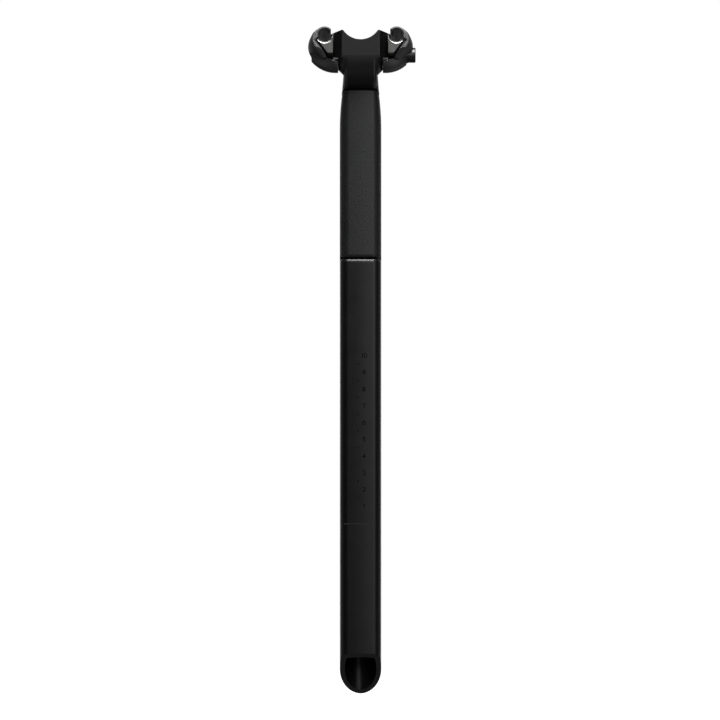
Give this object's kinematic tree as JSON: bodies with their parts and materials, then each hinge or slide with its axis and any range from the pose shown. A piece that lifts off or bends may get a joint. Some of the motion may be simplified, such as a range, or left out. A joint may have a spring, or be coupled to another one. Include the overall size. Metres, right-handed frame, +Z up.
{
  "type": "bicycle seatpost",
  "caption": "Bicycle seatpost: D-shaped carbon tube with a slanted lower end, a soft insert behind its neck, and a side-clamping head that grips both saddle rails with a crosswise bolt.",
  "frame": {"origin": "on the post's widest line and middle plane, level with the tip of its slanted lower end", "axes": "+Z up the post, +Y to the front of the bicycle, +X to its right side"},
  "size_m": [0.0643, 0.0468, 0.3993],
  "materials": {
    "satin_carbon": "satin black clear coat over carbon fibre",
    "bare_aluminium": "turned, bare",
    "soft_insert": "fine moulded grain",
    "grey_cradle": "grey anodised, fine blasted",
    "black_clamp": "black anodised, fine blasted",
    "black_steel": "black oxide"
  },
  "bodies": {
    "post": {"post_body": "satin_carbon", "head_bush": "bare_aluminium", "flex_insert": "soft_insert"},
    "carriage": {"left_cradle": "grey_cradle", "right_cradle": "grey_cradle"},
    "left_jaw": {"left_clamp": "black_clamp"},
    "right_jaw": {"right_clamp": "black_clamp", "bolt_washer": "black_steel"},
    "bolt": {"clamp_bolt": "black_steel"}
  },
  "joints": [
    {"name": "saddle_tilt", "type": "hinge", "parent": "post", "child": "carriage", "pos_m": [0, -0.0117, 0.382], "axis": [1, 0, 0], "range_deg": [-12, 12]},
    {"name": "left_clamp_open", "type": "slide", "parent": "carriage", "child": "left_jaw", "axis": [-1, 0, 0], "range_m": [0, 0.0025]},
    {"name": "right_clamp_open", "type": "slide", "parent": "carriage", "child": "right_jaw", "axis": [1, 0, 0], "range_m": [0, 0.0025]},
    {"name": "bolt_turn", "type": "hinge", "parent": "right_jaw", "child": "bolt", "pos_m": [0, -0.0117, 0.382], "axis": [1, 0, 0], "range_deg": [0, 1800]}
  ],
  "couplings": [
    {"joint": "left_clamp_open", "follows": "right_clamp_open", "ratio": 1},
    {"joint": "bolt_turn", "follows": "right_clamp_open", "rad_per_m": 12566}
  ]
}
